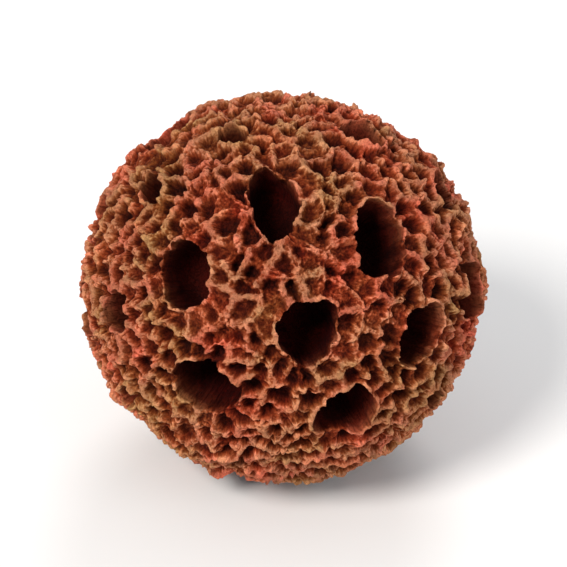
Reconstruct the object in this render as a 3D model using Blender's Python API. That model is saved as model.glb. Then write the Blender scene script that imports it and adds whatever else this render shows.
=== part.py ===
"""A dry sweetgum seed ball: one woody head of fused seed capsules, resting on the scar of its stalk.

Run it with blender --background --python part.py, or from the text editor. It is in metres with +Z up, and
the origin is on the surface that the ball rests on, under the ball's middle.

The head is one solid. Its surface is a rule, surface_points, that gives the place of the surface in any
direction from the ball's middle: a net of woody strands with a hollow in each mesh and a knot where strands
meet, an oval opening with a lip for each capsule, and the flat scar at the foot. The solid has points only
where that rule turns.
"""

import math
import random

import bmesh
import bpy
import numpy as np

MM = 0.001

# Driving sizes of the ball
BALL_RADIUS = 14.9 * MM  # to the crests of the strands, before they vary
HEIGHT_SHARE = 0.955  # height over width
REST_DROP = 13.9 * MM  # from the ball's middle down to the flat scar
SWELL = 0.12 * MM  # how far the whole ball is out of round
SWELL_LENGTH = 26 * MM
WAVE_COUNT = 6
WAVE_SHARES = (0.7, 1.4)  # how often each wave comes, over what its length asks
SEED = 46

# Seed capsules
CAPSULES = 48
CAPSULE_TRIES = 3000
CAPSULE_RELAX_STEPS = 60
CAPSULE_SPREAD = 2.04  # least distance that they are pushed to, over the radius of each one's share of the ball
PUSH_SHARE = 0.25
SPIRAL_SHAKE = 0.35
OPENING_LENGTHS = (3.5 * MM, 5.4 * MM)
OPENING_SHAPES = (0.62, 0.85)  # width over length
OPENING_LOBES = (2, 3, 5)  # waves that each opening's edge has round it
OPENING_LOBE_SIZES = (0.05, 0.05, 0.03)
CHAMBER_DEPTH = 5.0 * MM
CHAMBER_DEPTH_SHARES = (0.85, 1.1)
CHAMBER_FLOOR_POWER = 2.2
CHAMBER_WALL_POWER = 2.5
CAPSULE_RISE = 0.2 * MM  # each capsule stands this far out of the ball
CAPSULE_RISE_REACH = 2.2 * MM

# The woody lip round each opening, with the worn stubs of the capsule's two beaks
LIP_CREST = 0.10 * MM  # it is level for this far out from the opening, and then falls
LIP_FOOT = 0.52 * MM
LIP_HEIGHT = 0.10 * MM  # over the crests of the strands
LIP_DIP = 0.34 * MM  # how far it falls in front of each hollow
LIP_WOBBLE = 0.14 * MM
LIP_WOBBLE_LENGTH = 4.0 * MM
LIP_BREAK = 0.7  # share of the lip that is worn away where it is most broken
LIP_BREAK_LENGTH = 3.0 * MM
LIP_BREAK_HEIGHTS = (0.1, 0.9)  # it wears away where the wave rises from the first height to the second
STUB_HEIGHTS = (0.0, 0.4 * MM)
STUB_SHARPNESS = 6

# The net of woody strands between the openings, with a hollow in each of its meshes
HOLLOW_PITCH = 1.6 * MM
HOLLOW_SPACINGS = (0.62, 1.0)  # least distance of a hollow from the others, in pitches
HOLLOW_RIM_SPACING = 0.72  # the same for the ring of hollows round an opening
HOLLOW_RIM_OFFSET = 1.0 * MM  # from an opening's edge to the middle of the hollows round it
HOLLOW_CLEARANCE = 0.7 * MM  # least distance from a hollow's middle to an opening's edge
HOLLOW_SCAR_CLEARANCES = (0.5 * MM, 0.6 * MM)  # the same to the scar, for the rings and for the rest
HOLLOW_DEPTHS = (0.5 * MM, 1.25 * MM)
HOLLOW_FILL = 9000  # places tried for the hollows between the rings of hollows round the openings
STRAND_CREST = 0.08 * MM  # half of a strand's rounded crest
STRAND_FOOT = 0.52 * MM
STRAND_FOOT_SPREAD = 0.25  # how much wider or narrower than that a strand may be
STRAND_FOOT_MEAN = 0.7
LOWEST_STRAND = 0.3  # height of the lowest strand's middle, over that of its ends
STRAND_JOIN = 0.5 * MM
KNOT_HEIGHTS = (-0.10 * MM, 0.26 * MM)
KNOT_REACH = 0.6 * MM
KNOT_JOIN = 0.2 * MM
WARP = 0.2 * MM  # how far the net is pushed about
WARP_LENGTH = 4.0 * MM

# Stalk scar at the foot
SCAR_RADIUS = 3.3 * MM
SCAR_PIT_RADIUS = 1.0 * MM
SCAR_PIT_DEPTH = 0.7 * MM

# The view of the photograph: the camera is in front, along -Y, and looks down on the ball
VIEW_ELEVATION = math.radians(30)

# The openings on the side that the photograph shows: places right and up from the ball's middle in shares of
# its radius, length and width in millimetres, and the lean of the long axis to the left of upright in degrees.
# The last five are small ones, where the photograph shows no large one.
SEEN_OPENINGS = (
    (0.12, -0.20, 5.3, 3.9, -10),
    (0.46, 0.25, 5.6, 4.3, -8),
    (-0.46, 0.08, 5.2, 4.0, 10),
    (-0.36, -0.48, 5.0, 4.2, 42),
    (0.30, -0.60, 5.0, 4.0, -62),
    (-0.04, 0.42, 6.3, 3.4, 10),
    (0.66, -0.22, 4.6, 3.8, -5),
    (0.37, 0.76, 4.0, 2.8, 60),
    (-0.63, 0.51, 3.2, 2.3, 30),
    (0.78, 0.49, 3.8, 2.6, -20),
    (-0.80, -0.11, 3.6, 2.4, 10),
    (-0.24, 0.76, 2.5, 1.6, 75),
    (-0.74, -0.54, 2.5, 1.7, -40),
    (0.72, -0.55, 2.5, 1.7, 40),
    (-0.25, -0.86, 2.5, 1.7, 80),
    (0.28, -0.90, 2.5, 1.7, 95),
)

# Points of the mesh: one in each hollow, one on each knot, and rings round each opening
KNOT_CLEARANCE = 0.6 * MM  # a knot nearer to an opening's edge than this gets no point of its own
LIP_RING = 0.30 * MM
EDGE_SHARE = 1.02
EDGE_POINTS = 20
CHAMBER_RINGS = ((0.80, 12, 0.5), (0.45, 7, 0))  # share of the way to the edge, points, and turn
FOOT_RINGS = (  # radius and points
    (SCAR_RADIUS + LIP_RING, 16),
    (0.99 * SCAR_RADIUS, 16),
    (1.15 * SCAR_PIT_RADIUS, 8),
    (0.6 * SCAR_PIT_RADIUS, 6),
)

HUSK_COLOUR = (0.21, 0.062, 0.030, 1.0)
HUSK_ROUGHNESS = 0.85


def unit(vectors):
    return vectors / np.linalg.norm(vectors, axis=-1, keepdims=True)


def seen_direction(right, up):
    """The direction, from the ball's middle, of a place that the camera sees right and up from the middle."""
    towards = math.sqrt(1 - right**2 - up**2)
    sine, cosine = math.sin(VIEW_ELEVATION), math.cos(VIEW_ELEVATION)
    return np.array((right, up * sine - towards * cosine, up * cosine + towards * sine))


def spread_over_sphere(count, rng):
    """Directions on an even spiral over the sphere, each shaken a little."""
    step = math.pi * (3 - math.sqrt(5))
    made = []
    for i in range(count):
        z = 1 - (2 * i + 1) / count
        across = math.sqrt(1 - z * z)
        made.append((across * math.cos(i * step), across * math.sin(i * step), z))
    shake = np.array([[rng.uniform(-1, 1) for _ in range(3)] for _ in range(count)])
    return unit(np.array(made) + SPIRAL_SHAKE / math.sqrt(count) * shake)


def placed_apart(fixed, count, rng):
    """Directions that keep far from each other and from the fixed ones: each in the widest gap left."""
    tries = spread_over_sphere(CAPSULE_TRIES, rng)
    nearness = (tries @ fixed.T).max(axis=1)
    taken = []
    for _ in range(count):
        best = tries[nearness.argmin()]
        taken.append(best)
        nearness = np.maximum(nearness, tries @ best)
    return np.array(taken)


def pushed_apart(free, fixed, spacing, steps):
    """Moves free directions away from each other and from the fixed ones, until they lie evenly."""
    for _ in range(steps):
        everyone = np.vstack((fixed, free))
        away = free[:, None, :] - everyone[None, :, :]
        gap = np.linalg.norm(away, axis=2)
        push = np.clip(spacing - gap, 0, None) * (gap > 1e-9)
        moves = (away / np.maximum(gap, 1e-9)[..., None] * push[..., None]).sum(axis=1)
        free = unit(free + PUSH_SHARE * moves)
    return free


def tangent_axes(directions, leans):
    """Two directions across each given one: the first leans from upright by the angle, the second is square to it."""
    upright = np.array((0.0, math.sin(VIEW_ELEVATION), math.cos(VIEW_ELEVATION)))
    side = unit(np.cross(upright, directions))
    up = np.cross(directions, side)
    cosine, sine = np.cos(leans)[:, None], np.sin(leans)[:, None]
    along = up * cosine - side * sine
    return along, np.cross(directions, along)


def make_capsules():
    """The capsules: where they point, and the axes, half sizes, depths, stubs and lobes of their openings."""
    rng = random.Random(SEED)
    seen = np.array([seen_direction(right, up) for right, up, _, _, _ in SEEN_OPENINGS])
    foot = np.array([[0.0, 0.0, -1.0]])
    fixed = np.vstack((foot, seen))
    spacing = CAPSULE_SPREAD * math.sqrt(math.pi / CAPSULES)
    free = placed_apart(fixed, CAPSULES - len(seen), rng)
    free = pushed_apart(free, fixed, spacing, CAPSULE_RELAX_STEPS)
    directions = np.vstack((seen, free))
    lengths = [length * MM for _, _, length, _, _ in SEEN_OPENINGS]
    lengths += [rng.uniform(*OPENING_LENGTHS) for _ in free]
    widths = [width * MM for _, _, _, width, _ in SEEN_OPENINGS]
    widths += [length * rng.uniform(*OPENING_SHAPES) for length in lengths[len(seen) :]]
    leans = [math.radians(lean) for _, _, _, _, lean in SEEN_OPENINGS]
    leans += [rng.uniform(-math.pi / 2, math.pi / 2) for _ in free]
    long_axis, short_axis = tangent_axes(directions, np.array(leans))
    return {
        "direction": directions,
        "long": long_axis,
        "short": short_axis,
        "half_length": np.array(lengths) / 2,
        "half_width": np.array(widths) / 2,
        "depth": CHAMBER_DEPTH * np.array([rng.uniform(*CHAMBER_DEPTH_SHARES) for _ in directions]),
        "stubs": np.array([[rng.uniform(*STUB_HEIGHTS) for _ in range(2)] for _ in directions]),
        "lobes": np.array([[rng.uniform(0, size) for size in OPENING_LOBE_SIZES] for _ in directions]),
        "turns": np.array([[rng.uniform(0, 2 * math.pi) for _ in OPENING_LOBES] for _ in directions]),
    }


def opening_bulge(capsules, index, angle):
    """How far out an opening's edge lies at an angle round it, as a share of the plain oval's."""
    lobes = np.cos(angle[..., None] * np.array(OPENING_LOBES) + capsules["turns"][index])
    return 1 + (capsules["lobes"][index] * lobes).sum(axis=-1)


def opening_place(directions, capsules):
    """The place of each direction against the nearest opening.

    It gives which opening, the share of the way to its edge, the distance past that edge, and where it is
    across the opening, from -1 at one long side to 1 at the other.
    """
    along = directions @ capsules["long"].T * BALL_RADIUS
    across = directions @ capsules["short"].T * BALL_RADIUS
    share = np.hypot(along / capsules["half_length"], across / capsules["half_width"])
    share[directions @ capsules["direction"].T < 0] = np.inf
    which = share.argmin(axis=1)
    rows = np.arange(len(directions))
    along, across = along[rows, which], across[rows, which]
    angle = np.arctan2(across / capsules["half_width"][which], along / capsules["half_length"][which])
    share = np.maximum(share[rows, which], 1e-6) / opening_bulge(capsules, which, angle)
    past = np.hypot(along, across) * (1 - 1 / share)
    side = np.sin(angle) * np.minimum(share, 1)
    return which, share, past, side


def scar_distance(directions):
    """How far each direction is outside the stalk scar, measured across the foot."""
    across = np.hypot(directions[:, 0], directions[:, 1]) * BALL_RADIUS
    return np.where(directions[:, 2] < 0, across - SCAR_RADIUS, BALL_RADIUS)


def rim_directions(capsules, index, share, count, turn):
    """Directions evenly round an opening, at a share of the way to its edge or past it."""
    angles = (np.arange(count) + turn) * 2 * math.pi / count
    share = share * opening_bulge(capsules, index, angles)[:, None]
    along = np.cos(angles)[:, None] * capsules["long"][index] * capsules["half_length"][index]
    across = np.sin(angles)[:, None] * capsules["short"][index] * capsules["half_width"][index]
    return unit(capsules["direction"][index] + share * (along + across) / BALL_RADIUS)


def make_hollows(capsules):
    """The hollows: directions, depths, and numbers that set the heights of the strands between them."""
    rng = random.Random(SEED + 1)
    pitch = HOLLOW_PITCH / BALL_RADIUS
    kept = []

    def try_hollow(direction, least):
        if all(np.dot(direction, other) < 1 - least**2 / 2 for other in kept):
            kept.append(direction)

    for index in range(len(capsules["direction"])):
        half = (capsules["half_length"][index] + capsules["half_width"][index]) / 2
        out = half + HOLLOW_RIM_OFFSET
        count = round(2 * math.pi * out / HOLLOW_PITCH)
        for direction in rim_directions(capsules, index, out / half, count, rng.random()):
            try_hollow(direction, HOLLOW_RIM_SPACING * pitch)
    fill = spread_over_sphere(HOLLOW_FILL, rng)
    past = opening_place(fill, capsules)[2]
    fill = list(fill[(past > HOLLOW_RIM_OFFSET) & (scar_distance(fill) > HOLLOW_SCAR_CLEARANCES[1])])
    rng.shuffle(fill)
    for direction in fill:
        try_hollow(direction, rng.uniform(*HOLLOW_SPACINGS) * pitch)
    hollows = np.array(kept)
    hollows = hollows[scar_distance(hollows) > HOLLOW_SCAR_CLEARANCES[0]]
    hollows = hollows[opening_place(hollows, capsules)[2] > HOLLOW_CLEARANCE]
    return {
        "direction": hollows,
        "depth": np.array([rng.uniform(*HOLLOW_DEPTHS) for _ in hollows]),
        "draw": np.array([rng.random() for _ in hollows]),
    }


def smooth_step(low, high, value):
    t = np.clip((value - low) / (high - low), 0, 1)
    return t * t * (3 - 2 * t)


def waves(directions, length, seed):
    """A smooth wavy number from about -1 to 1 in each direction, with waves of about the given length."""
    rng = random.Random(seed)
    total = np.zeros(len(directions))
    for _ in range(WAVE_COUNT):
        wave = unit(np.array([rng.gauss(0, 1) for _ in range(3)])) * rng.uniform(*WAVE_SHARES)
        wave *= 2 * math.pi * BALL_RADIUS / length
        total += np.sin(directions @ wave + rng.uniform(0, 2 * math.pi))
    return total / math.sqrt(WAVE_COUNT)


def surface_points(directions, capsules, hollows):
    """The place of the ball's surface in each direction from its middle."""
    which, share, past, side = opening_place(directions, capsules)
    scar = scar_distance(directions)
    gaps = BALL_RADIUS * np.sqrt(np.maximum(2 - 2 * directions @ hollows["direction"].T, 0))
    near = np.argsort(gaps, axis=1)[:, :4]
    first, second, third, fourth = np.take_along_axis(gaps, near, axis=1).T
    own, other, far = hollows["draw"][near[:, :3]].T

    # A strand runs between each two hollows, highest at its ends, and a knot may stand where strands meet
    free = smooth_step(0, STRAND_JOIN, third - second)
    height = 1 - (1 - LOWEST_STRAND) * free * ((own + other) % 1)
    base = STRAND_FOOT * (1 + STRAND_FOOT_SPREAD * free * (2 * np.abs(own - other) - STRAND_FOOT_MEAN))
    strand = height * (1 - smooth_step(STRAND_CREST, base, (second - first) / 2))
    knot = (1 - smooth_step(0, KNOT_REACH, third - first)) * smooth_step(0, KNOT_JOIN, fourth - third)
    knot *= KNOT_HEIGHTS[0] + (KNOT_HEIGHTS[1] - KNOT_HEIGHTS[0]) * ((own + other + far) % 1)

    # A lip stands round each opening, with the stubs of the beaks on its long sides, and a rim round the scar
    broken = smooth_step(*LIP_BREAK_HEIGHTS, waves(directions, LIP_BREAK_LENGTH, SEED + 8))
    lip = (1 - smooth_step(LIP_CREST, LIP_FOOT, past)) * (1 - LIP_BREAK * broken)
    rim = 1 - smooth_step(LIP_CREST, LIP_FOOT, scar)
    stub = capsules["stubs"][which, (side > 0).astype(int)] * np.abs(side) ** STUB_SHARPNESS
    stub += LIP_HEIGHT - LIP_DIP * (1 - strand) + LIP_WOBBLE * waves(directions, LIP_WOBBLE_LENGTH, SEED + 7)
    crown = BALL_RADIUS + SWELL * waves(directions, SWELL_LENGTH, SEED + 2)
    crown += CAPSULE_RISE * (np.exp(-((np.maximum(past, 0) / CAPSULE_RISE_REACH) ** 2)) - 0.5)
    deep, next_deep = hollows["depth"][near[:, :2]].T
    deep += (next_deep - deep) / 2 * (2 * first / (first + second)) ** 2
    edge = np.maximum(lip, rim)
    radius = crown - deep * (1 - np.maximum(strand, edge)) + knot * (1 - edge) + lip * stub
    points = directions * radius[:, None]

    # Inside an opening the surface runs down the chamber's wall and over its floor
    inside = share < 1
    middle = capsules["direction"][which[inside]]
    inner = share[inside]
    depth = capsules["depth"][which[inside]] * (1 - inner**CHAMBER_FLOOR_POWER)
    wall = np.sqrt(1 - (1 - inner) ** CHAMBER_WALL_POWER) / inner
    offset = directions[inside] - middle * (directions[inside] * middle).sum(axis=1)[:, None]
    spread = unit(middle + offset * wall[:, None])
    points[inside] = spread * radius[inside][:, None] - middle * depth[:, None]

    warp = np.column_stack([waves(directions, WARP_LENGTH, SEED + 3 + axis) for axis in range(3)])
    points += WARP * warp
    points[:, 2] *= HEIGHT_SHARE

    # The foot is flat, with a small pit where the stalk's core was
    foot = scar < 0
    flat = directions[foot] * BALL_RADIUS
    pit = np.hypot(flat[:, 0], flat[:, 1]) < SCAR_PIT_RADIUS
    flat[:, 2] = -REST_DROP + np.where(pit, SCAR_PIT_DEPTH, 0)
    points[foot] = flat
    points[:, 2] = np.maximum(points[:, 2], -REST_DROP)
    return points


def hull_of(directions):
    """The convex hull of directions on the unit sphere, as a bmesh: it joins each to its neighbours."""
    hull = bmesh.new()
    for direction in directions:
        hull.verts.new(direction)
    bmesh.ops.convex_hull(hull, input=hull.verts)
    hull.normal_update()
    return hull


def knot_directions(hollows, capsules):
    """Directions of the knots, where three strands meet: the hull's faces over the hollows point at them."""
    hull = hull_of(hollows["direction"])
    knots = np.array([face.normal for face in hull.faces])
    hull.free()
    past = opening_place(knots, capsules)[2]
    return knots[(past > KNOT_CLEARANCE) & (scar_distance(knots) > KNOT_CLEARANCE)]


def foot_ring(radius, count):
    """Directions round the foot, at a distance from its middle."""
    across = radius / BALL_RADIUS
    angles = np.arange(count) * 2 * math.pi / count
    level = np.full(count, -math.sqrt(1 - across**2))
    return np.column_stack((across * np.cos(angles), across * np.sin(angles), level))


def mesh_directions(capsules, hollows):
    """Every direction that gets a point of the mesh."""
    made = [hollows["direction"], knot_directions(hollows, capsules), capsules["direction"]]
    for index in range(len(capsules["direction"])):
        half = (capsules["half_length"][index] + capsules["half_width"][index]) / 2
        made.append(rim_directions(capsules, index, 1 + LIP_RING / half, EDGE_POINTS, 0.5))
        made.append(rim_directions(capsules, index, EDGE_SHARE, EDGE_POINTS, 0))
        for share, count, turn in CHAMBER_RINGS:
            made.append(rim_directions(capsules, index, share, count, turn))
    made += [foot_ring(radius, count) for radius, count in FOOT_RINGS]
    return np.vstack(made)


def make_husk_material():
    material = bpy.data.materials.new("husk")
    material.use_nodes = True
    shader = material.node_tree.nodes["Principled BSDF"]
    shader.inputs["Base Color"].default_value = HUSK_COLOUR
    shader.inputs["Roughness"].default_value = HUSK_ROUGHNESS
    shader.inputs["Metallic"].default_value = 0.0
    material.diffuse_color = HUSK_COLOUR
    return material


def make_seed_ball():
    capsules = make_capsules()
    hollows = make_hollows(capsules)
    ball = hull_of(mesh_directions(capsules, hollows))
    directions = unit(np.array([vertex.co for vertex in ball.verts]))
    points = surface_points(directions, capsules, hollows)
    points[:, 2] += REST_DROP
    for vertex, point in zip(ball.verts, points):
        vertex.co = point
    mesh = bpy.data.meshes.new("seed_ball")
    ball.to_mesh(mesh)
    ball.free()
    mesh.materials.append(make_husk_material())
    return bpy.data.objects.new("seed_ball", mesh)


def main():
    for old in list(bpy.data.objects):
        bpy.data.objects.remove(old)
    collection = bpy.data.collections.new("sweetgum_seed_ball")
    bpy.context.scene.collection.children.link(collection)
    collection.objects.link(make_seed_ball())


main()
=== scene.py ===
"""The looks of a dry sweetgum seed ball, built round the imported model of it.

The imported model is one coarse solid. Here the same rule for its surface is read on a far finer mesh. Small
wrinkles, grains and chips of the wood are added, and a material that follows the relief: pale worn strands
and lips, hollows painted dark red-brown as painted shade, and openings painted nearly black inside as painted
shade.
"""

import math
import random

import bmesh
import bpy
import numpy as np
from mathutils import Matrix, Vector, noise


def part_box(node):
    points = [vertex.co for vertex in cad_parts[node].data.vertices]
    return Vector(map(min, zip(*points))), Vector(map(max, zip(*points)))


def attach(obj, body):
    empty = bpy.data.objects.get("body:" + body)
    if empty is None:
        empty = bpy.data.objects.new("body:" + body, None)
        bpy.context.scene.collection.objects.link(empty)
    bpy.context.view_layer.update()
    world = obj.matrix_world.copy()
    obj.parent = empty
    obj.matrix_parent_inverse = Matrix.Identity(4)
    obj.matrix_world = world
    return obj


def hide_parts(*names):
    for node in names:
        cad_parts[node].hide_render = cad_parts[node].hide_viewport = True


MM = 0.001

# Driving sizes of the ball
BALL_RADIUS = 14.9 * MM  # to the crests of the strands, before they vary
HEIGHT_SHARE = 0.955  # height over width
REST_DROP = 13.9 * MM  # from the ball's middle down to the flat scar
SWELL = 0.12 * MM  # how far the whole ball is out of round
SWELL_LENGTH = 26 * MM
WAVE_COUNT = 6
WAVE_SHARES = (0.7, 1.4)  # how often each wave comes, over what its length asks
SEED = 46

# Seed capsules
CAPSULES = 48
CAPSULE_TRIES = 3000
CAPSULE_RELAX_STEPS = 60
CAPSULE_SPREAD = 2.04  # how far apart they are pushed, over the radius of each one's share of the ball
PUSH_SHARE = 0.25
SPIRAL_SHAKE = 0.35
OPENING_LENGTHS = (3.5 * MM, 5.4 * MM)
OPENING_SHAPES = (0.62, 0.85)  # width over length
OPENING_LOBES = (2, 3, 5)  # waves that each opening's edge has round it
OPENING_LOBE_SIZES = (0.05, 0.05, 0.03)
CHAMBER_DEPTH = 5.0 * MM
CHAMBER_DEPTH_SHARES = (0.85, 1.1)
CHAMBER_FLOOR_POWER = 2.2
CHAMBER_WALL_POWER = 2.5
CAPSULE_RISE = 0.2 * MM  # each capsule stands this far out of the ball
CAPSULE_RISE_REACH = 2.2 * MM

# The woody lip round each opening, with the worn stubs of the capsule's two beaks
LIP_CREST = 0.10 * MM  # it is level for this far out from the opening, and then falls
LIP_FOOT = 0.52 * MM
LIP_HEIGHT = 0.10 * MM  # over the crests of the strands
LIP_DIP = 0.34 * MM  # how far it falls in front of each hollow
LIP_WOBBLE = 0.14 * MM
LIP_WOBBLE_LENGTH = 4.0 * MM
LIP_BREAK = 0.7  # share of the lip that is worn away where it is most broken
LIP_BREAK_LENGTH = 3.0 * MM
LIP_BREAK_HEIGHTS = (0.1, 0.9)  # it wears away where the wave rises from the first height to the second
STUB_HEIGHTS = (0.0, 0.4 * MM)
STUB_SHARPNESS = 6

# The net of woody strands between the openings, with a hollow in each of its meshes
HOLLOW_PITCH = 1.6 * MM
HOLLOW_SPACINGS = (0.62, 1.0)  # least distance of a hollow from the others, in pitches
HOLLOW_RIM_SPACING = 0.72  # the same for the ring of hollows round an opening
HOLLOW_RIM_OFFSET = 1.0 * MM  # from an opening's edge to the middle of the hollows round it
HOLLOW_CLEARANCE = 0.7 * MM  # least distance from a hollow's middle to an opening's edge
HOLLOW_SCAR_CLEARANCES = (0.5 * MM, 0.6 * MM)  # the same to the scar, for the rings and for the rest
HOLLOW_DEPTHS = (0.5 * MM, 1.25 * MM)
HOLLOW_FILL = 9000  # places tried for the hollows between the rings of hollows round the openings
STRAND_CREST = 0.08 * MM  # half of a strand's rounded crest
STRAND_FOOT = 0.52 * MM
STRAND_FOOT_SPREAD = 0.25  # how much wider or narrower than that a strand may be
STRAND_FOOT_MEAN = 0.7
LOWEST_STRAND = 0.3  # height of the lowest strand's middle, over that of its ends
STRAND_JOIN = 0.5 * MM
KNOT_HEIGHTS = (-0.10 * MM, 0.26 * MM)
KNOT_REACH = 0.6 * MM
KNOT_JOIN = 0.2 * MM
WARP = 0.2 * MM  # how far the net is pushed about
WARP_LENGTH = 4.0 * MM

# Stalk scar at the foot
SCAR_RADIUS = 3.3 * MM
SCAR_PIT_RADIUS = 1.0 * MM
SCAR_PIT_DEPTH = 0.7 * MM

# The view of the photograph
VIEW_ELEVATION = math.radians(30)
VIEW_LENS = 135  # mm, on Blender's 36 mm sensor
VIEW_FILL = 0.72  # share of the frame's width that the ball takes

# The openings on the side that the photograph shows: places right and up from the ball's middle in shares of
# its radius, length and width in millimetres, and degrees that the long axis leans to the left of upright.
# The last five are small ones, where the photograph shows no large one.
SEEN_OPENINGS = (
    (0.12, -0.20, 5.3, 3.9, -10),
    (0.46, 0.25, 5.6, 4.3, -8),
    (-0.46, 0.08, 5.2, 4.0, 10),
    (-0.36, -0.48, 5.0, 4.2, 42),
    (0.30, -0.60, 5.0, 4.0, -62),
    (-0.04, 0.42, 6.3, 3.4, 10),
    (0.66, -0.22, 4.6, 3.8, -5),
    (0.37, 0.76, 4.0, 2.8, 60),
    (-0.63, 0.51, 3.2, 2.3, 30),
    (0.78, 0.49, 3.8, 2.6, -20),
    (-0.80, -0.11, 3.6, 2.4, 10),
    (-0.24, 0.76, 2.5, 1.6, 75),
    (-0.74, -0.54, 2.5, 1.7, -40),
    (0.72, -0.55, 2.5, 1.7, 40),
    (-0.25, -0.86, 2.5, 1.7, 80),
    (0.28, -0.90, 2.5, 1.7, 95),
)

# Fine mesh
PIECES = 4
ROUGH_SPHERE = 3  # divisions of the sphere that the fine one is cut from, which give it 320 faces
MESH_STEPS = 48  # each of those faces is cut into this many steps a side
CHUNK = 8000  # directions that are read at a time
WALL_CROWDING = 0.55  # power of the share of the way to an opening's edge: below 1, points crowd on the walls
EDGE_SNAP = 0.05 * MM  # points nearer to an opening's edge than this are moved onto it
FLAT_REACH = 0.01 * MM  # points nearer to the level of the foot than this count as flat

# Relief of the wood, too fine for the solid
EDGE_CHIPS = 0.16 * MM  # how far the worn edges of the openings go in and out
EDGE_CHIP_LENGTHS = (1.9 * MM, 0.9 * MM)
EDGE_CHIP_START = 0.3  # inside an opening, the share of the way to its edge where they begin
WRINKLE = 0.10 * MM  # the largest wrinkles; each finer octave has a share of their depth
WRINKLE_LENGTH = 0.6 * MM
WRINKLE_OCTAVES = 3
WRINKLE_OCTAVE_SHARE = 0.6
WRINKLE_OCTAVE_STEP = 2.1  # how many times finer each octave is than the one before
WRINKLE_CREST = 0.4  # height of their sharp crests, over WRINKLE
WRINKLE_FALL = 2  # how fast they fall away from the crests
WRINKLE_STRETCH = 3  # the wrinkles are this much longer down a wall than along it
WRINKLE_CHAMBER_LOSS = (3, 0.5)  # how fast they fade down a chamber, and the most that they lose
GRAIN = 0.20 * MM
GRAIN_LENGTH = 0.62 * MM
GRAIN_LEVEL = 0.5  # distance from a grain's middle, in grain lengths, where it neither rises nor sinks
GRAIN_CHAMBER_LOSS = 8  # how fast they fade down a chamber
SCAR_TEAR = 0.35 * MM  # how much shorter the shortest of the stalk's torn fibres is than the longest
FIBRE_WIDTH = 0.42 * MM
FIBRE_MEAN = 0.5  # mean loss of a fibre, over SCAR_TEAR
FIBRE_STRIDE = 3.1  # step in the noise from one fibre to the next, so that neighbours differ
FIBRE_CRACK_WIDTH = 0.18  # over the fibres' width
FIBRE_CRACK_DEPTH = 0.9  # over SCAR_TEAR

# What the material reads off the relief. Creases are painted darker as painted shade, and sharp edges paler
# as wear.
BULGE_REACH = 0.25 * MM  # radius of an edge or crease that counts as sharp
BULGE_FLAT = 0.5
BULGE_LEAST_STEP = 0.03 * MM  # steps between points that are shorter than this count for less
SCAR_SUNK = 0.1
# The shortest fibres of the scar are painted darker than the longest, as painted shade
SCAR_TEAR_PAINTED_SHADE = 0.5  # how much more sunk the shortest fibres count as than the longest
SCAR_TONE = 0.5

# Noises of the wood: scale, detail and roughness. Streaks are scaled over directions, the rest over metres.
SPECKLE_NOISE = (1300, 4, 0.65)
FIBRE_NOISE = (4200, 5, 0.7)
STREAK_NOISE = (75, 3, 0.6)
PATCH_NOISE = (170, 2, 0.5)
HUE_NOISE = (430, 2, 0.5)

# What is added to how sunk the wood is, to pick its colour, which darkens with depth as painted shade
SPECKLE_LEVEL = 0.5
# creases painted darker as painted shade, sharp edges paler as wear
BULGE_SHADE_AND_WEAR_LEVEL = 0.45
STREAK_LEVEL = 0.6

# Colours of the wood from the crests down, and the tints that it is multiplied by. The crests are pale with
# wear;
# the darkening below them is painted shade of the hollows.
WOOD_AND_PAINTED_SHADE_COLOURS = (
    (0.0, (0.65, 0.243, 0.143)),
    (0.14, (0.40, 0.106, 0.046)),
    (0.34, (0.215, 0.039, 0.011)),
    (0.62, (0.092, 0.0105, 0.0025)),
    (1.0, (0.024, 0.002, 0.0006)),
)
PATCH_TINTS = ((0.36, (1.12, 0.80, 0.76)), (0.50, (1.0, 1.0, 0.95)), (0.64, (0.90, 1.06, 0.80)))
HUE_TINTS = ((0.36, (1.14, 0.84, 0.85)), (0.50, (1.0, 1.0, 0.96)), (0.64, (0.95, 1.14, 0.98)))
STRAND_TINTS = ((0.0, (0.74, 0.70, 0.66)), (1.0, (1.18, 1.15, 1.12)))
FIBRE_TINTS = ((0.36, (0.50, 0.44, 0.40)), (0.50, (1.0, 1.0, 1.0)), (0.68, (1.34, 1.40, 1.44)))
# Painted shade inside the openings: the chambers' walls are multiplied darker, to nearly black with depth
CHAMBER_PAINTED_SHADE = (
    (0.0, (1, 1, 1)),
    (0.04, (0.52, 0.38, 0.32)),
    (0.20, (0.18, 0.07, 0.05)),
    (0.5, (0.08, 0.014, 0.008)),
)
TINT_STRENGTH = 0.9
FIBRE_STRENGTH = 0.85

# Gloss and bump of the wood
SPECULAR = 0.10
ROUGHNESS_LEAST = 0.62
ROUGHNESS_SPREAD = 0.3
SPECKLE_RELIEF = 1.6  # over the fibres' relief
STREAK_RELIEF = 2.0
BUMP_HEIGHT = 0.17 * MM

# Floor and lights. Each light has its place in metres, size, power and colour.
FLOOR_REACH = 3
FLOOR_COLOUR = (0.86, 0.85, 0.84, 1)
FLOOR_ROUGHNESS = 0.9
LIGHTS = {
    "key": ((-0.25, -0.32, 0.38), 0.20, 2.75, (1.0, 0.97, 0.93)),
    "fill": ((0.40, -0.30, 0.22), 0.35, 0.85, (0.95, 0.97, 1.0)),
    "back": ((0.10, 0.45, 0.40), 0.30, 1.5, (1.0, 1.0, 1.0)),
}
SKY_COLOUR = (0.95, 0.97, 1.0, 1)
SKY_STRENGTH = 0.45


def unit(vectors):
    return vectors / np.linalg.norm(vectors, axis=-1, keepdims=True)


def seen_direction(right, up):
    """The direction, from the ball's middle, of a place that the camera sees right and up from the middle."""
    towards = math.sqrt(1 - right**2 - up**2)
    sine, cosine = math.sin(VIEW_ELEVATION), math.cos(VIEW_ELEVATION)
    return np.array((right, up * sine - towards * cosine, up * cosine + towards * sine))


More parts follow.
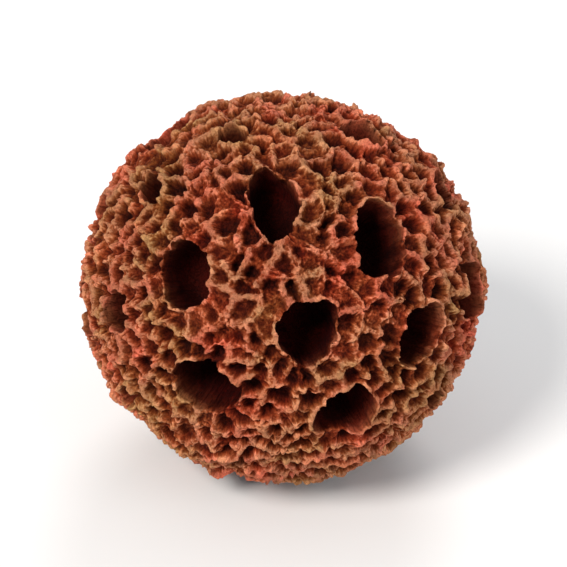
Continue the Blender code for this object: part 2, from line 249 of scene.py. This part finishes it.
def spread_over_sphere(count, rng):
    """Directions on an even spiral over the sphere, each shaken a little."""
    step = math.pi * (3 - math.sqrt(5))
    made = []
    for i in range(count):
        z = 1 - (2 * i + 1) / count
        across = math.sqrt(1 - z * z)
        made.append((across * math.cos(i * step), across * math.sin(i * step), z))
    shake = np.array([[rng.uniform(-1, 1) for _ in range(3)] for _ in range(count)])
    return unit(np.array(made) + SPIRAL_SHAKE / math.sqrt(count) * shake)


def placed_apart(fixed, count, rng):
    """Directions that keep far from each other and from the fixed ones: each in the widest gap left."""
    tries = spread_over_sphere(CAPSULE_TRIES, rng)
    nearness = (tries @ fixed.T).max(axis=1)
    taken = []
    for _ in range(count):
        best = tries[nearness.argmin()]
        taken.append(best)
        nearness = np.maximum(nearness, tries @ best)
    return np.array(taken)


def pushed_apart(free, fixed, spacing, steps):
    """Moves free directions away from each other and from the fixed ones, until they lie evenly."""
    for _ in range(steps):
        everyone = np.vstack((fixed, free))
        away = free[:, None, :] - everyone[None, :, :]
        gap = np.linalg.norm(away, axis=2)
        push = np.clip(spacing - gap, 0, None) * (gap > 1e-9)
        moves = (away / np.maximum(gap, 1e-9)[..., None] * push[..., None]).sum(axis=1)
        free = unit(free + PUSH_SHARE * moves)
    return free


def tangent_axes(directions, leans):
    """Two directions across each given one: one leans from upright by the angle, and one is square to it."""
    upright = np.array((0.0, math.sin(VIEW_ELEVATION), math.cos(VIEW_ELEVATION)))
    side = unit(np.cross(upright, directions))
    up = np.cross(directions, side)
    cosine, sine = np.cos(leans)[:, None], np.sin(leans)[:, None]
    along = up * cosine - side * sine
    return along, np.cross(directions, along)


def make_capsules():
    """The capsules: where they point, and the axes, half sizes, depths, stubs and lobes of their openings."""
    rng = random.Random(SEED)
    seen = np.array([seen_direction(right, up) for right, up, _, _, _ in SEEN_OPENINGS])
    foot = np.array([[0.0, 0.0, -1.0]])
    fixed = np.vstack((foot, seen))
    spacing = CAPSULE_SPREAD * math.sqrt(math.pi / CAPSULES)
    free = placed_apart(fixed, CAPSULES - len(seen), rng)
    free = pushed_apart(free, fixed, spacing, CAPSULE_RELAX_STEPS)
    directions = np.vstack((seen, free))
    lengths = [length * MM for _, _, length, _, _ in SEEN_OPENINGS]
    lengths += [rng.uniform(*OPENING_LENGTHS) for _ in free]
    widths = [width * MM for _, _, _, width, _ in SEEN_OPENINGS]
    widths += [length * rng.uniform(*OPENING_SHAPES) for length in lengths[len(seen) :]]
    leans = [math.radians(lean) for _, _, _, _, lean in SEEN_OPENINGS]
    leans += [rng.uniform(-math.pi / 2, math.pi / 2) for _ in free]
    long_axis, short_axis = tangent_axes(directions, np.array(leans))
    return {
        "direction": directions,
        "long": long_axis,
        "short": short_axis,
        "half_length": np.array(lengths) / 2,
        "half_width": np.array(widths) / 2,
        "depth": CHAMBER_DEPTH * np.array([rng.uniform(*CHAMBER_DEPTH_SHARES) for _ in directions]),
        "stubs": np.array([[rng.uniform(*STUB_HEIGHTS) for _ in range(2)] for _ in directions]),
        "lobes": np.array([[rng.uniform(0, size) for size in OPENING_LOBE_SIZES] for _ in directions]),
        "turns": np.array([[rng.uniform(0, 2 * math.pi) for _ in OPENING_LOBES] for _ in directions]),
    }


def opening_bulge(capsules, index, angle):
    """How far out an opening's edge lies at an angle round it, as a share of the plain oval's."""
    lobes = np.cos(angle[..., None] * np.array(OPENING_LOBES) + capsules["turns"][index])
    return 1 + (capsules["lobes"][index] * lobes).sum(axis=-1)


def opening_place(directions, capsules):
    """The place of each direction against the nearest opening.

    It gives which opening, the share of the way to its edge, the distance past that edge, and where it is
    across the opening, from -1 at one long side to 1 at the other.
    """
    along = directions @ capsules["long"].T * BALL_RADIUS
    across = directions @ capsules["short"].T * BALL_RADIUS
    share = np.hypot(along / capsules["half_length"], across / capsules["half_width"])
    share[directions @ capsules["direction"].T < 0] = np.inf
    which = share.argmin(axis=1)
    rows = np.arange(len(directions))
    along, across = along[rows, which], across[rows, which]
    angle = np.arctan2(across / capsules["half_width"][which], along / capsules["half_length"][which])
    share = np.maximum(share[rows, which], 1e-6) / opening_bulge(capsules, which, angle)
    past = np.hypot(along, across) * (1 - 1 / share)
    side = np.sin(angle) * np.minimum(share, 1)
    return which, share, past, side


def scar_distance(directions):
    """How far each direction is outside the stalk scar, measured across the foot."""
    across = np.hypot(directions[:, 0], directions[:, 1]) * BALL_RADIUS
    return np.where(directions[:, 2] < 0, across - SCAR_RADIUS, BALL_RADIUS)


def rim_directions(capsules, index, share, count, turn):
    """Directions evenly round an opening, at a share of the way to its edge or past it."""
    angles = (np.arange(count) + turn) * 2 * math.pi / count
    share = share * opening_bulge(capsules, index, angles)[:, None]
    along = np.cos(angles)[:, None] * capsules["long"][index] * capsules["half_length"][index]
    across = np.sin(angles)[:, None] * capsules["short"][index] * capsules["half_width"][index]
    return unit(capsules["direction"][index] + share * (along + across) / BALL_RADIUS)


def make_hollows(capsules):
    """The hollows: directions, depths, and numbers that set the heights of the strands between them."""
    rng = random.Random(SEED + 1)
    pitch = HOLLOW_PITCH / BALL_RADIUS
    kept = []

    def try_hollow(direction, least):
        if all(np.dot(direction, other) < 1 - least**2 / 2 for other in kept):
            kept.append(direction)

    for index in range(len(capsules["direction"])):
        half = (capsules["half_length"][index] + capsules["half_width"][index]) / 2
        out = half + HOLLOW_RIM_OFFSET
        count = round(2 * math.pi * out / HOLLOW_PITCH)
        for direction in rim_directions(capsules, index, out / half, count, rng.random()):
            try_hollow(direction, HOLLOW_RIM_SPACING * pitch)
    fill = spread_over_sphere(HOLLOW_FILL, rng)
    past = opening_place(fill, capsules)[2]
    fill = list(fill[(past > HOLLOW_RIM_OFFSET) & (scar_distance(fill) > HOLLOW_SCAR_CLEARANCES[1])])
    rng.shuffle(fill)
    for direction in fill:
        try_hollow(direction, rng.uniform(*HOLLOW_SPACINGS) * pitch)
    hollows = np.array(kept)
    hollows = hollows[scar_distance(hollows) > HOLLOW_SCAR_CLEARANCES[0]]
    hollows = hollows[opening_place(hollows, capsules)[2] > HOLLOW_CLEARANCE]
    return {
        "direction": hollows,
        "depth": np.array([rng.uniform(*HOLLOW_DEPTHS) for _ in hollows]),
        "draw": np.array([rng.random() for _ in hollows]),
    }


def smooth_step(low, high, value):
    t = np.clip((value - low) / (high - low), 0, 1)
    return t * t * (3 - 2 * t)


def waves(directions, length, seed):
    """A smooth wavy number from about -1 to 1 in each direction, with waves of about the given length."""
    rng = random.Random(seed)
    total = np.zeros(len(directions))
    for _ in range(WAVE_COUNT):
        wave = unit(np.array([rng.gauss(0, 1) for _ in range(3)])) * rng.uniform(*WAVE_SHARES)
        wave *= 2 * math.pi * BALL_RADIUS / length
        total += np.sin(directions @ wave + rng.uniform(0, 2 * math.pi))
    return total / math.sqrt(WAVE_COUNT)


def surface(directions, capsules, hollows):
    """The ball's surface in each direction from its middle: its points, and what its material needs there."""
    which, share, past, side = opening_place(directions, capsules)
    scar = scar_distance(directions)
    gaps = BALL_RADIUS * np.sqrt(np.maximum(2 - 2 * directions @ hollows["direction"].T, 0))
    near = np.argpartition(gaps, 4, axis=1)[:, :4]
    near = np.take_along_axis(near, np.argsort(np.take_along_axis(gaps, near, axis=1), axis=1), axis=1)
    first, second, third, fourth = np.take_along_axis(gaps, near, axis=1).T
    own, other, far = hollows["draw"][near[:, :3]].T

    # A strand runs between each two hollows, highest at its ends, and a knot may stand where strands meet
    free = smooth_step(0, STRAND_JOIN, third - second)
    height = 1 - (1 - LOWEST_STRAND) * free * ((own + other) % 1)
    base = STRAND_FOOT * (1 + STRAND_FOOT_SPREAD * free * (2 * np.abs(own - other) - STRAND_FOOT_MEAN))
    strand = height * (1 - smooth_step(STRAND_CREST, base, (second - first) / 2))
    knot = (1 - smooth_step(0, KNOT_REACH, third - first)) * smooth_step(0, KNOT_JOIN, fourth - third)
    knot *= KNOT_HEIGHTS[0] + (KNOT_HEIGHTS[1] - KNOT_HEIGHTS[0]) * ((own + other + far) % 1)

    # A lip stands round each opening, with the stubs of the beaks on its long sides, and a rim round the scar
    broken = smooth_step(*LIP_BREAK_HEIGHTS, waves(directions, LIP_BREAK_LENGTH, SEED + 8))
    lip = (1 - smooth_step(LIP_CREST, LIP_FOOT, past)) * (1 - LIP_BREAK * broken)
    rim = 1 - smooth_step(LIP_CREST, LIP_FOOT, scar)
    stub = capsules["stubs"][which, (side > 0).astype(int)] * np.abs(side) ** STUB_SHARPNESS
    stub += LIP_HEIGHT - LIP_DIP * (1 - strand) + LIP_WOBBLE * waves(directions, LIP_WOBBLE_LENGTH, SEED + 7)
    crown = BALL_RADIUS + SWELL * waves(directions, SWELL_LENGTH, SEED + 2)
    crown += CAPSULE_RISE * (np.exp(-((np.maximum(past, 0) / CAPSULE_RISE_REACH) ** 2)) - 0.5)
    deep, next_deep = hollows["depth"][near[:, :2]].T
    deep += (next_deep - deep) / 2 * (2 * first / (first + second)) ** 2
    edge = np.maximum(lip, rim)
    radius = crown - deep * (1 - np.maximum(strand, edge)) + knot * (1 - edge) + lip * stub
    points = directions * radius[:, None]
    # How sunk each point is: the material paints it darker the deeper it lies, as painted shade
    sunk = (crown - radius) / HOLLOW_DEPTHS[1]

    # Inside an opening the surface runs down the chamber's wall and over its floor
    inside = share < 1
    middle = capsules["direction"][which[inside]]
    inner = share[inside]
    depth = capsules["depth"][which[inside]] * (1 - inner**CHAMBER_FLOOR_POWER)
    wall = np.sqrt(1 - (1 - inner) ** CHAMBER_WALL_POWER) / inner
    offset = directions[inside] - middle * (directions[inside] * middle).sum(axis=1)[:, None]
    spread = unit(middle + offset * wall[:, None])
    points[inside] = spread * radius[inside][:, None] - middle * depth[:, None]
    # How far down a chamber each point is, which the material paints darker as painted shade
    chamber = np.zeros(len(directions))
    chamber[inside] = depth / CHAMBER_DEPTH

    warp = np.column_stack([waves(directions, WARP_LENGTH, SEED + 3 + axis) for axis in range(3)])
    points += WARP * warp
    points[:, 2] *= HEIGHT_SHARE

    # The foot is flat, with a small pit where the stalk's core was
    foot = scar < 0
    flat = directions[foot] * BALL_RADIUS
    pit = np.hypot(flat[:, 0], flat[:, 1]) < SCAR_PIT_RADIUS
    flat[:, 2] = -REST_DROP + np.where(pit, SCAR_PIT_DEPTH, 0)
    points[foot] = flat
    points[:, 2] = np.maximum(points[:, 2], -REST_DROP)
    return {
        "points": points,
        "sunk": np.where(foot, SCAR_SUNK, sunk),
        "chamber": chamber,
        "tone": np.where(foot, SCAR_TONE, (own + other) % 1),
        "scar": foot.astype(float),
        "flat": (points[:, 2] < -REST_DROP + FLAT_REACH).astype(float),
    }


def fine_sphere():
    """A bmesh of small, nearly even triangles on the unit sphere, each with its piece as material number."""
    sphere = bmesh.new()
    bmesh.ops.create_icosphere(sphere, subdivisions=ROUGH_SPHERE, radius=1)
    around = sorted(sphere.faces, key=lambda face: math.atan2(*face.calc_center_median().xy))
    for place, face in enumerate(around):
        face.material_index = place * PIECES // len(around)
    bmesh.ops.subdivide_edges(sphere, edges=sphere.edges, cuts=MESH_STEPS - 1, use_grid_fill=True)
    return sphere


def fitted_to_openings(directions, capsules):
    """Slides points so that they are close on the chambers' walls, and lie exactly on the openings' edges."""
    which, share, past, _ = opening_place(directions, capsules)
    wanted = np.where(share < 1, share**WALL_CROWDING, share)
    wanted = np.where(np.abs(past) < EDGE_SNAP, 1.0, wanted)
    middle = capsules["direction"][which]
    along = (directions * middle).sum(axis=1)[:, None]
    offset = directions - middle * along
    moved = unit(middle * along + offset * (wanted / share)[:, None])
    return np.where((wanted != share)[:, None], moved, directions)


def chipped(points, directions, capsules):
    """The points, with those at the edge of each opening moved in or out by worn chips of the wood."""
    which, share, past, _ = opening_place(directions, capsules)
    near = 1 - smooth_step(0, LIP_FOOT, np.abs(past))
    near = np.where(share < 1, smooth_step(EDGE_CHIP_START, 1.0, share), near)
    chips = sum(waves(directions, length, SEED + 9) for length in EDGE_CHIP_LENGTHS) / 2
    outwards = directions - capsules["direction"][which]
    return points + (EDGE_CHIPS * near * chips)[:, None] * unit(outwards)


def read_surface(directions, capsules, hollows):
    """surface() in runs of a few thousand directions, to spare memory."""
    runs = [surface(directions[i : i + CHUNK], capsules, hollows) for i in range(0, len(directions), CHUNK)]
    return {name: np.concatenate([run[name] for run in runs]) for name in runs[0]}


def crumpled(points, chamber):
    """How far the wood's wrinkles and grains push each point out: less on the walls of the chambers."""
    middle = Vector((0, 0, REST_DROP))
    pushed = []
    for point, deep in zip(points, chamber):
        place = Vector(point)
        outward = place - middle
        height = outward.length - BALL_RADIUS
        drawn = outward.normalized() * (BALL_RADIUS + height / WRINKLE_STRETCH) / WRINKLE_LENGTH
        crumple = 0
        for octave in range(WRINKLE_OCTAVES):
            ridge = WRINKLE_CREST - WRINKLE_FALL * abs(noise.noise(drawn * WRINKLE_OCTAVE_STEP**octave))
            crumple += WRINKLE * WRINKLE_OCTAVE_SHARE**octave * ridge
        crumple *= 1 - min(WRINKLE_CHAMBER_LOSS[0] * deep, WRINKLE_CHAMBER_LOSS[1])
        grain = GRAIN * (GRAIN_LEVEL - noise.voronoi(place / GRAIN_LENGTH)[0][0])
        pushed.append(crumple + grain * (1 - min(GRAIN_CHAMBER_LOSS * deep, 1)))
    return np.array(pushed)


def torn(points, scar):
    """How far short the fibres of the stalk are broken off, at each point in the scar."""
    short = np.zeros(len(points))
    for index in np.flatnonzero(scar):
        place = Vector(points[index]) / FIBRE_WIDTH
        place.z = 0
        gaps, centres = noise.voronoi(place)
        stump = FIBRE_MEAN + noise.noise(centres[0] * FIBRE_STRIDE)
        crack = max(0, 1 - (gaps[1] - gaps[0]) / FIBRE_CRACK_WIDTH)
        short[index] = SCAR_TEAR * min(1, max(0, stump, FIBRE_CRACK_DEPTH * crack))
    return short


def normals_of(mesh, points):
    """Gives the mesh its points, and reads how its surface faces at each."""
    mesh.vertices.foreach_set("co", points.ravel())
    mesh.update()
    normals = np.empty(len(points) * 3)
    mesh.vertex_normals.foreach_get("vector", normals)
    return normals.reshape(-1, 3)


def bulge_of(points, normals, edges):
    """How sharply the surface bulges at each point: above BULGE_FLAT it is an edge, and below it a crease."""
    start, end = edges.T
    step = points[end] - points[start]
    size = (step**2).sum(axis=1) + BULGE_LEAST_STEP**2
    fall = np.bincount(start, -(step * normals[start]).sum(axis=1) / size, len(points))
    fall += np.bincount(end, (step * normals[end]).sum(axis=1) / size, len(points))
    count = np.bincount(edges.ravel(), minlength=len(points))
    bulge = fall / count
    around = np.bincount(start, bulge[end], len(points)) + np.bincount(end, bulge[start], len(points))
    return np.clip(BULGE_FLAT + BULGE_REACH * (bulge + around / count) / 2, 0, 1)


def make_piece(name, points, normals, faces, found):
    """One piece of the ball, shaded with the whole ball's normals, so that its border doesn't show."""
    used, corners = np.unique(faces, return_inverse=True)
    mesh = bpy.data.meshes.new(name)
    mesh.from_pydata(points[used].tolist(), [], corners.reshape(-1, 3).tolist())
    for key in ("sunk", "chamber", "tone", "bulge"):
        layer = mesh.attributes.new(key, "FLOAT", "POINT")
        layer.data.foreach_set("value", found[key][used].astype(np.float32))
    mesh.shade_smooth()
    mesh.normals_split_custom_set_from_vertices(normals[used].tolist())
    piece = bpy.data.objects.new(name, mesh)
    bpy.context.scene.collection.objects.link(piece)
    return piece


def make_seed_ball():
    """The ball's pieces, cut from one fine mesh."""
    capsules = make_capsules()
    hollows = make_hollows(capsules)
    sphere = fine_sphere()
    directions = unit(np.array([vertex.co for vertex in sphere.verts]))
    directions = fitted_to_openings(directions, capsules)
    found = read_surface(directions, capsules, hollows)
    whole = bpy.data.meshes.new("whole")
    sphere.to_mesh(whole)
    sphere.free()
    points = chipped(found["points"], directions, capsules)
    points[:, 2] += REST_DROP
    short = torn(points, found["scar"])
    points[:, 2] += short
    # Fibres broken off shorter are painted darker, as painted shade
    found["sunk"] += SCAR_TEAR_PAINTED_SHADE * short / SCAR_TEAR
    pushed = crumpled(points, found["chamber"]) * (1 - found["flat"])
    points += normals_of(whole, points) * pushed[:, None]
    points[:, 2] = np.maximum(points[:, 2], 0)
    normals = normals_of(whole, points)
    edges = np.empty(len(whole.edges) * 2, np.int32)
    whole.edges.foreach_get("vertices", edges)
    found["bulge"] = bulge_of(points, normals, edges.reshape(-1, 2))
    faces = np.empty(len(whole.loops), np.int32)
    whole.loops.foreach_get("vertex_index", faces)
    owners = np.empty(len(whole.polygons), np.int32)
    whole.polygons.foreach_get("material_index", owners)
    bpy.data.meshes.remove(whole)
    faces = faces.reshape(-1, 3)
    return [
        make_piece("seed_ball_husk_%d" % (number + 1), points, normals, faces[owners == number], found)
        for number in range(PIECES)
    ]


class Nodes:
    """A small helper that adds shader nodes and joins them."""

    def __init__(self, material):
        material.use_nodes = True
        self.tree = material.node_tree
        self.shader = self.tree.nodes["Principled BSDF"]

    def add(self, kind, **settings):
        node = self.tree.nodes.new(kind)
        for name, value in settings.items():
            setattr(node, name, value)
        return node

    def join(self, source, target):
        self.tree.links.new(source, target)

    def attribute(self, name):
        return self.add("ShaderNodeAttribute", attribute_name=name).outputs["Fac"]

    def math(self, operation, first, second=None):
        node = self.add("ShaderNodeMath", operation=operation)
        for socket, value in zip(node.inputs, (first, second)):
            if value is None:
                continue
            if isinstance(value, (int, float)):
                socket.default_value = value
            else:
                self.join(value, socket)
        return node.outputs[0]

    def ramp(self, factor, stops):
        node = self.add("ShaderNodeValToRGB")
        elements = node.color_ramp.elements
        while len(elements) < len(stops):
            elements.new(0.5)
        for element, (place, colour) in zip(elements, stops):
            element.position = place
            element.color = (*colour, 1)
        self.join(factor, node.inputs["Fac"])
        return node.outputs["Color"]

    def mix(self, factor, first, second, blend="MIX"):
        node = self.add("ShaderNodeMix", data_type="RGBA", blend_type=blend)
        sockets = (node.inputs[0], node.inputs[6], node.inputs[7])
        for socket, value in zip(sockets, (factor, first, second)):
            if isinstance(value, (int, float)):
                socket.default_value = value
            elif isinstance(value, tuple):
                socket.default_value = (*value, 1)
            else:
                self.join(value, socket)
        return node.outputs[2]

    def place(self):
        return self.add("ShaderNodeTexCoord").outputs["Object"]

    def outward(self):
        """The direction from the ball's middle, which is the same all the way down a wall."""
        offset = self.add("ShaderNodeVectorMath", operation="SUBTRACT")
        self.join(self.place(), offset.inputs[0])
        offset.inputs[1].default_value = (0, 0, REST_DROP)
        turned = self.add("ShaderNodeVectorMath", operation="NORMALIZE")
        self.join(offset.outputs[0], turned.inputs[0])
        return turned.outputs[0]

    def noise(self, place, scale, detail, roughness):
        node = self.add("ShaderNodeTexNoise")
        node.inputs["Scale"].default_value = scale
        node.inputs["Detail"].default_value = detail
        node.inputs["Roughness"].default_value = roughness
        self.join(place, node.inputs["Vector"])
        return node.outputs["Fac"]


def make_husk_material():
    """Dry wood: pale and worn on the crests, red-brown below them, and darker into the hollows and nearly
    black inside the openings as painted shade.
    """
    material = bpy.data.materials.new("husk")
    nodes = Nodes(material)
    speckle = nodes.math("SUBTRACT", nodes.noise(nodes.place(), *SPECKLE_NOISE), 0.5)
    fibre = nodes.noise(nodes.place(), *FIBRE_NOISE)
    streak = nodes.noise(nodes.outward(), *STREAK_NOISE)
    # Painted shade in the creases, and paler worn edges
    crease = nodes.math("SUBTRACT", BULGE_FLAT, nodes.attribute("bulge"))
    # The colour is picked by how sunk the wood is, so the hollows are painted darker as painted shade
    level = nodes.math("ADD", nodes.attribute("sunk"), nodes.math("MULTIPLY", speckle, SPECKLE_LEVEL))
    level = nodes.math("ADD", level, nodes.math("MULTIPLY", crease, BULGE_SHADE_AND_WEAR_LEVEL))
    middled = nodes.math("SUBTRACT", streak, 0.5)
    level = nodes.math("ADD", level, nodes.math("MULTIPLY", middled, STREAK_LEVEL))
    wood = nodes.ramp(level, WOOD_AND_PAINTED_SHADE_COLOURS)
    for factor, stops, strength in (
        (nodes.noise(nodes.place(), *PATCH_NOISE), PATCH_TINTS, TINT_STRENGTH),
        (nodes.noise(nodes.place(), *HUE_NOISE), HUE_TINTS, TINT_STRENGTH),
        (nodes.attribute("tone"), STRAND_TINTS, TINT_STRENGTH),
        (fibre, FIBRE_TINTS, FIBRE_STRENGTH),
        # painted shade down the chambers
        (nodes.attribute("chamber"), CHAMBER_PAINTED_SHADE, 1.0),
    ):
        wood = nodes.mix(strength, wood, nodes.ramp(factor, stops), "MULTIPLY")
    nodes.join(wood, nodes.shader.inputs["Base Color"])
    nodes.shader.inputs["Specular IOR Level"].default_value = SPECULAR
    rough = nodes.math("ADD", nodes.math("MULTIPLY", fibre, ROUGHNESS_SPREAD), ROUGHNESS_LEAST)
    nodes.join(rough, nodes.shader.inputs["Roughness"])
    relief = nodes.math("ADD", fibre, nodes.math("MULTIPLY", speckle, SPECKLE_RELIEF))
    relief = nodes.math("ADD", relief, nodes.math("MULTIPLY", streak, STREAK_RELIEF))
    bump = nodes.add("ShaderNodeBump")
    bump.inputs["Strength"].default_value = 1.0
    bump.inputs["Distance"].default_value = BUMP_HEIGHT
    nodes.join(relief, bump.inputs["Height"])
    nodes.join(bump.outputs["Normal"], nodes.shader.inputs["Normal"])
    return material


def make_floor():
    mesh = bpy.data.meshes.new("floor")
    built = bmesh.new()
    bmesh.ops.create_grid(built, x_segments=1, y_segments=1, size=FLOOR_REACH)
    built.to_mesh(mesh)
    built.free()
    floor = bpy.data.objects.new("floor", mesh)
    bpy.context.scene.collection.objects.link(floor)
    material = bpy.data.materials.new("floor")
    material.use_nodes = True
    shader = material.node_tree.nodes["Principled BSDF"]
    shader.inputs["Base Color"].default_value = FLOOR_COLOUR
    shader.inputs["Roughness"].default_value = FLOOR_ROUGHNESS
    mesh.materials.append(material)


def aim(thing, place, target):
    thing.location = place
    thing.rotation_euler = (target - place).to_track_quat("-Z", "Y").to_euler()


def add_light(name, place, size, power, colour, target):
    light = bpy.data.lights.new(name, "AREA")
    light.shape = "DISK"
    light.size = size
    light.energy = power
    light.color = colour
    holder = bpy.data.objects.new(name, light)
    bpy.context.scene.collection.objects.link(holder)
    aim(holder, Vector(place), target)


def make_lights(middle):
    for name, settings in LIGHTS.items():
        add_light(name, *settings, middle)
    world = bpy.data.worlds.new("studio")
    bpy.context.scene.world = world
    world.use_nodes = True
    background = world.node_tree.nodes["Background"]
    background.inputs["Color"].default_value = SKY_COLOUR
    background.inputs["Strength"].default_value = SKY_STRENGTH


def make_camera(middle, width):
    camera = bpy.data.cameras.new("camera")
    camera.lens = VIEW_LENS
    holder = bpy.data.objects.new("camera", camera)
    bpy.context.scene.collection.objects.link(holder)
    distance = width / VIEW_FILL * VIEW_LENS / camera.sensor_width
    back = Vector((0, -math.cos(VIEW_ELEVATION), math.sin(VIEW_ELEVATION)))
    aim(holder, middle + back * distance, middle)
    bpy.context.scene.camera = holder


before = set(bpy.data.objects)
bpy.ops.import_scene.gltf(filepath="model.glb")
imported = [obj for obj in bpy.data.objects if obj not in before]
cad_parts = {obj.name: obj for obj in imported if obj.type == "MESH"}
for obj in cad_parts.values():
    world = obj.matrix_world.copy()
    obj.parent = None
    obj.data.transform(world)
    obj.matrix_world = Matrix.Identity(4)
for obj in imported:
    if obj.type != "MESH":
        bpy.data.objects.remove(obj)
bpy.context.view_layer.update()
low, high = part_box("seed_ball")
middle = (low + high) / 2

husk = make_husk_material()
for piece in make_seed_ball():
    piece.data.materials.append(husk)
    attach(piece, "root")
    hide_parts("seed_ball")

make_floor()
make_lights(middle)
make_camera(middle, high.x - low.x)
bpy.context.scene.view_settings.view_transform = "Standard"
